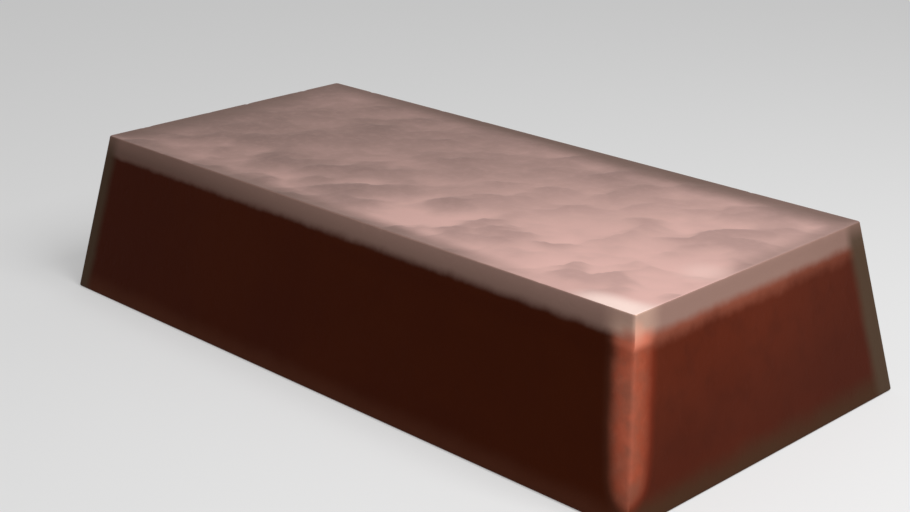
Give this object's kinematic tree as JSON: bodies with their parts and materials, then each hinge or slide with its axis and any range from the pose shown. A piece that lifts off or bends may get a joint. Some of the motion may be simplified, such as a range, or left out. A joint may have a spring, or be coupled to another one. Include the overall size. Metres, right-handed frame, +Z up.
{
  "type": "copper ingot",
  "caption": "Rectangular cast copper ingot with drafted walls, a flat top, slightly rounded edges and a shallow shrinkage hollow underneath; raw stock.",
  "frame": {"origin": "middle of the underside, in the plane of the flat rim that the ingot stands on", "axes": "+X along the length, +Y across the width, +Z up to the flat top face"},
  "size_m": [0.2498, 0.1252, 0.0545],
  "materials": {
    "copper": "satin"
  },
  "bodies": {
    "root": {"ingot": "copper"}
  },
  "joints": []
}
